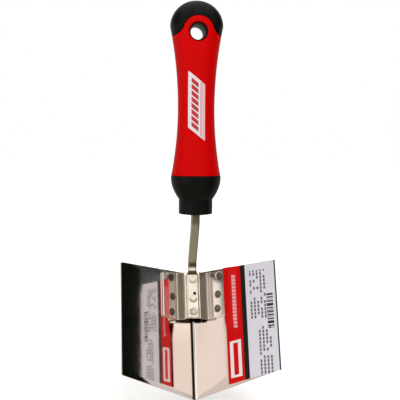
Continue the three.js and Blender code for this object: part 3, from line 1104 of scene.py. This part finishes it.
def shank_steel():
    """Plated bar: painted shade on the tang and the bend, a painted highlight below the bend, a painted
    shadow under the foot's shoulder, and a bright foot with three weld marks, painted shade on their lower
    rims and a small hole with painted shade in it.
    """
    make = Nodes("shank_steel", 0.3, metallic=1.0)
    broad = make.noise(90.0, 3.0)
    grain = make.noise(1500.0, 3.0, make.stretched((1.0, 1.0, 0.06)))
    height = make.along_blade((0, 0, 1))
    on_foot = make.remap(height, FOOT_TOP - 0.2, FOOT_TOP + 0.4, 1.0, 0.0)
    bar_colour = make.mix(broad, (0.52, 0.47, 0.37), (0.42, 0.38, 0.30))
    below_hole = make.times(make.vector("DOT_PRODUCT", make.place, (0, 0, -1)), 1 / MM)
    tang_end = HOLE_STATION + EXPOSED_TANG
    # painted shade: the tang's darker tone stands in for the dark reflections it shows
    tang_shade = make.remap(below_hole, tang_end + 2, tang_end - 1, 0.0, 1.0)
    bar_colour = make.mix(tang_shade, bar_colour, make.mix(broad, (0.27, 0.265, 0.19), (0.20, 0.20, 0.14)))
    # painted shade at the bend: a dark band where the bend's surface reflects dark surroundings
    bar_colour = make.mix(make.between(height, 1.6, 4.8, 0.7), bar_colour, (0.16, 0.14, 0.10))
    # painted highlight on the bar's straight run below the bend, standing in for its bright reflection
    bar_colour = make.mix(make.between(height, -0.6, 1.4, 0.5), bar_colour, (0.80, 0.72, 0.60))
    foot_colour = make.mix(broad, (0.90, 0.83, 0.74), (0.80, 0.72, 0.63))
    colour = make.mix(on_foot, bar_colour, foot_colour)
    # painted shadow under the shoulder where the bar flattens into the foot
    shoulder_shadow = make.between(height, FOOT_TOP - 0.3, SHOULDER_SHADOW_TOP - 1.6, 0.3)
    colour = make.mix(shoulder_shadow, colour, (0.10, 0.065, 0.035))
    mottle = make.remap(make.noise(520.0), 0.38, 0.62, 0.0, 1.0)
    shade_crescents_and_patches = ((0.7, 0.15), (0.95, 0.45), (0.6, 1.0))
    for centre, (crescent_shade, patch) in zip(weld_centres()[1], shade_crescents_and_patches):
        # painted shade: a dark crescent on each weld's lower rim, the shaded side of its dimple; the blots
        # are mottled discolouration
        disc = make.spot(centre, WELD_RADIUS, 0.3)
        inner = make.spot(centre + Vector((0, 0, 1.3)), WELD_RADIUS * 0.95, 0.7)
        ring = make.math("MAXIMUM", make.math("SUBTRACT", disc, inner), 0.0)
        colour = make.mix(make.times(ring, crescent_shade), colour, (0.30, 0.23, 0.16))
        blot = make.times(disc, mottle, patch)
        colour = make.mix(blot, colour, (0.24, 0.16, 0.10))
    across = make.along_blade((1, 0, 0))
    beside = make.math("SUBTRACT", across, foot_hole().x)
    above = make.math("SUBTRACT", height, foot_hole().z)
    reach = make.math("SQRT", make.math("ADD", make.times(beside, beside), make.times(above, above)))
    # painted shade in the small hole and a thin ring round it
    dark = make.remap(reach, FOOT_HOLE_RADIUS + 0.3, FOOT_HOLE_RADIUS - 0.05, 0.0, 1.0)
    colour = make.mix(dark, colour, (0.006, 0.004, 0.003))
    side = make.math("ABSOLUTE", make.math("SUBTRACT", across, BRACKET_SHIFT))
    flank = make.times(on_foot, make.remap(side, FOOT_WIDTH / 2 - 1.2, FOOT_WIDTH / 2 - 0.5, 0.0, 1.0))
    rough = make.math("SUBTRACT", make.grain(broad, 0.28, 0.38), make.times(flank, 0.18))
    return make.set(colour, rough, make.bump(grain, 0.12, 0.04))


def core_plastic():
    """Black satin moulding, with painted shade inside the hang hole."""
    make = Nodes("core_plastic", 0.4, specular=0.12)
    broad = make.noise(45.0, 2.0)
    grain = make.noise(2600.0, 3.0)
    colour = make.mix(broad, (0.0016, 0.0022, 0.0015), (0.0034, 0.0042, 0.0030))
    off_axis = make.vector("LENGTH", make.stretched((1, 0, 1)))
    # painted shade: the bore is coloured darker than the rest of the moulding
    bore_shade = make.remap(off_axis, (HOLE_RADIUS + 0.5) * MM, (HOLE_RADIUS - 0.1) * MM, 0.0, 1.0)
    colour = make.mix(bore_shade, colour, (0.0004, 0.0004, 0.0003))
    return make.set(colour, make.grain(broad, 0.36, 0.45), make.bump(grain, 0.12, 0.05))


def grip_rubber():
    """Red soft-touch rubber."""
    make = Nodes("grip_rubber", 0.46, specular=0.05)
    broad = make.noise(30.0, 3.0)
    grain = make.noise(3200.0, 4.0)
    colour = make.mix(broad, (0.44, 0.0001, 0.0002), (0.50, 0.0002, 0.0004))
    return make.set(colour, make.grain(grain, 0.40, 0.5), make.bump(grain, 0.16, 0.05))


def badge_plastic():
    """White moulding with plain red bars and a rule where the mark would be."""
    make = Nodes("badge_plastic", 0.35)
    split = make.node("SeparateXYZ", make.place).outputs
    x = make.math("MULTIPLY_ADD", split[0], 1 / MM, -BADGE_SHIFT)
    z = make.math("MULTIPLY_ADD", split[2], 1 / MM, HOLE_STATION - BADGE_STATION)
    level = make.math("MULTIPLY_ADD", x, BADGE_SLANT / 2 / BADGE_HALF_WIDTH, z)
    colour = make.mix(make.noise(160.0), (0.56, 0.52, 0.54), (0.62, 0.58, 0.59))
    red = (0.40, 0.012, 0.02)
    block = make.between(make.math("FRACT", make.times(level, 1 / BADGE_BAR_PITCH)), 0.14, 0.86, 0.03)
    bars = make.times(block, make.area(x, level, BADGE_BARS))
    rule = make.times(make.between(x, *BADGE_RULE, 0.05), make.between(level, *BADGE_RULE_ENDS))
    strip = make.times(make.between(x, *BADGE_STRIP), 0.45)
    colour = make.mix(strip, colour, (0.62, 0.20, 0.22))
    colour = make.mix(bars, colour, red)
    colour = make.mix(rule, colour, red)
    return make.set(colour, 0.35, make.bump(make.noise(1800.0), 0.05, 0.03))


def label_print():
    """Printed card: a red band, a black strip and a pale panel with plain bars where the words would be."""
    make = Nodes("label_print", 0.32, specular=0.12)
    along = make.along_blade((math.sin(HALF_OPENING), -math.cos(HALF_OPENING), 0))
    height = make.along_blade((0, 0, 1))
    lift = make.along_blade((-math.cos(HALF_OPENING), -math.sin(HALF_OPENING), 0))
    panel = make.mix(make.noise(25.0), (0.55, 0.527, 0.59), (0.60, 0.58, 0.635))
    ink = (0.03, 0.03, 0.035)
    row = make.times(along, 1 / ROW_PITCH)
    word = make.times(height, 1 / WORD_PITCH)
    cell = make.node("CombineXYZ", make.math("FLOOR", row), make.math("FLOOR", word)).outputs[0]
    words = make.node("TexWhiteNoise", cell)
    words.noise_dimensions = "2D"
    kept = make.math("GREATER_THAN", words.outputs["Value"], 0.22)
    gap = make.between(make.math("FRACT", word), 0.1, 0.9, 0.04)
    line = make.times(make.between(make.math("FRACT", row), 0.24, 0.74, 0.06), kept, gap)
    printed = make.math("MAXIMUM", make.area(along, height, UPPER_TEXT), make.area(along, height, LOWER_TEXT))
    colour = make.mix(make.times(line, printed, 0.88), panel, ink)
    waves = [make.math("SINE", make.times(height, pace)) for pace in (4.4, 2.7)]
    stripes = make.math("GREATER_THAN", make.math("ADD", *waves), -0.15)
    colour = make.mix(make.times(make.area(along, height, STRIPES), stripes), colour, ink)
    colour = make.mix(make.between(along, 0.0, BLACK_END), colour, (0.008, 0.010, 0.008))
    red = make.mix(make.noise(40.0), (0.47, 0.0004, 0.0008), (0.53, 0.0006, 0.0012))
    colour = make.mix(make.between(along, 0.0, RED_END), colour, red)
    title = make.times(make.area(along, height, TITLE), gap, 0.62)
    colour = make.mix(title, colour, (0.66, 0.46, 0.48))
    slanted = make.math("MULTIPLY_ADD", along, -0.16, height)
    colour = make.mix(make.area(along, slanted, EMBLEM), colour, (0.66, 0.62, 0.62))
    fill = make.times(make.area(along, slanted, EMBLEM_INSIDE), make.between(along, *EMBLEM_FILL))
    colour = make.mix(fill, colour, red)
    back = make.math("LESS_THAN", lift, 0.0)
    colour = make.mix(make.times(back, make.between(along, BLACK_END, 70.0)), colour, panel)
    # painted shade: a dark line along the card's fold round the wing's outer edge
    colour = make.mix(make.between(along, *FOLD_SHADE, 0.1), colour, (0.05, 0.05, 0.055))
    rough = make.grain(make.noise(70.0), 0.28, 0.38)
    return make.set(colour, rough, make.bump(make.noise(900.0), 0.05, 0.03))


# ---- stage ----


class World(Tree):
    """Studio light by direction: zones of azimuth and elevation in degrees, each over the ones before it."""

    def __init__(self, colour):
        world = bpy.data.worlds.new("studio")
        bpy.context.scene.world = world
        world.use_nodes = True
        super().__init__(world.node_tree)
        x, y, z = self.node("SeparateXYZ", self.node("TexCoord").outputs["Generated"]).outputs
        self.azimuth = self.times(self.math("ARCTAN2", x, self.times(y, -1.0)), 180 / math.pi)
        self.elevation = self.times(self.math("ARCSINE", z), 180 / math.pi)
        self.colour = colour

    def zone(self, azimuth, elevation, colour, soft):
        beside = self.between(self.azimuth, *azimuth, soft, "SMOOTHSTEP")
        above = self.between(self.elevation, *elevation, soft, "SMOOTHSTEP")
        self.colour = self.mix(self.times(beside, above), self.colour, colour)

    def finish(self):
        """Lights the scene with the zones, and shows the camera plain white."""
        seen = self.node("LightPath").outputs["Is Camera Ray"]
        backdrop = self.tree.nodes["Background"]
        self.link(self.mix(seen, self.colour, (1.0, 1.0, 1.0)), backdrop.inputs["Color"])


def studio():
    all_round = (-200, 200)
    right = (66, 130)
    left = (-130, -66)
    world = World((0.62, 0.60, 0.56))
    world.zone(all_round, (-95, -14), (0.52, 0.475, 0.40), 4)
    world.zone(all_round, (55, 100), (1.3, 1.3, 1.3), 10)
    world.zone((-63, 66), (-13, 52), (1.24, 1.20, 1.17), 2.5)
    world.zone((-16, 26), (-13, 10), (0.14, 0.135, 0.095), 3)
    world.zone((26, 44), (13, 52), (0.27, 0.255, 0.20), 2.0)
    world.zone((-30.3, -9), (21.6, 60), (0.17, 0.16, 0.11), 0.35)
    world.zone((4, 24), (24.6, 40), (1.65, 1.62, 1.48), 1.5)
    world.zone(right, (-14, 10.55), (0.73, 0.69, 0.68), 0.12)
    world.zone(right, (10.55, 45), (0.055, 0.070, 0.070), 0.12)
    world.zone(left, (-14, 12.0), (0.80, 0.72, 0.67), 0.2)
    world.zone(left, (12.0, 45), (0.055, 0.075, 0.068), 0.2)
    world.finish()


def stage_sheet(name, corners, material):
    """A flat four-sided sheet of the stage. Its corners are in metres."""
    mesh = bpy.data.meshes.new(name)
    mesh.from_pydata(corners, [], [(0, 1, 2, 3)])
    mesh.materials.append(material)
    sheet = add_object(name, mesh)
    return sheet


def dark_card():
    """A near-black card on the right that only reflections see."""
    corner, edge_a, edge_b = (Vector(v) * MM for v in ((150, -101, -330), (30, -230, 0), (0, 157, 420)))
    make = Nodes("dark_card", 1.0, specular=0.0)
    make.put(base_color=(0.004, 0.006, 0.0035))
    corners = [corner, corner + edge_a, corner + edge_a + edge_b, corner + edge_b]
    sheet = stage_sheet("dark_card", corners, make.material)
    sheet.visible_camera = False
    sheet.visible_shadow = False


def floor():
    """Pale paper under the tool, which metal doesn't reflect."""
    size = 4.0
    clearance = 0.0005
    z = CAD_BOX[0].z - clearance
    make = Nodes("floor_paper", 0.9, specular=0.1)
    make.put(base_color=(0.93, 0.93, 0.93), emission_color=(1.0, 1.0, 1.0), emission_strength=0.35)
    corners = [(-size, -size, z), (size, -size, z), (size, size, z), (-size, size, z)]
    stage_sheet("floor", corners, make.material).visible_glossy = False


def key_light():
    """A large soft light in front and above, which metal doesn't reflect."""
    place = Vector((0.25, -0.9, 0.75))
    target = Vector((0, 0, -0.1))
    light = bpy.data.lights.new("key", "AREA")
    light.shape = "RECTANGLE"
    light.size, light.size_y = 0.7, 0.5
    light.energy = 7.5
    lamp = add_object("key", light)
    lamp.location = place
    lamp.rotation_mode = "QUATERNION"
    lamp.rotation_quaternion = (target - place).to_track_quat("-Z", "Y")
    lamp.visible_glossy = False


def camera():
    azimuth, elevation, roll = (math.radians(v) for v in CAMERA_ANGLES)
    back = Vector((
        math.sin(azimuth) * math.cos(elevation),
        -math.cos(azimuth) * math.cos(elevation),
        math.sin(elevation),
    ))
    level = Vector((math.cos(azimuth), math.sin(azimuth), 0))
    upright = back.cross(level)
    right = level * math.cos(roll) + upright * math.sin(roll)
    up = upright * math.cos(roll) - level * math.sin(roll)
    lens = bpy.data.cameras.new("camera")
    lens.lens = CAMERA_LENS
    lens.sensor_width = CAMERA_SENSOR
    lens.clip_start = 0.01
    lens.clip_end = 50.0
    eye = add_object("camera", lens)
    turn = Matrix((right, up, back)).transposed().to_4x4()
    eye.matrix_world = Matrix.Translation((Vector(CAMERA_TARGET) + back * CAMERA_DISTANCE) * MM) @ turn
    bpy.context.scene.camera = eye


def build():
    finish_piece(blade(), blade_steel(), "blade")
    finish_piece(bracket(), bracket_steel(), "bracket")
    finish_piece(label(), label_print(), "label_sleeve")
    bar = shank()
    drill(bar, BLADE_FRAME @ foot_hole(), BLADE_TURN.to_3x3() @ Vector((0, 1, 0)), FOOT_HOLE_RADIUS)
    clean(bar)
    finish_piece(bar, shank_steel(), "shank")
    finish_piece(core(), core_plastic(), "handle_core")
    finish_piece(grip(), grip_rubber(), "soft_grip")
    finish_piece(badge(), badge_plastic(), "grip_badge")


bpy.context.scene.view_settings.view_transform = "Standard"
bpy.context.scene.view_settings.look = "None"
camera()
studio()
floor()
dark_card()
key_light()
build()
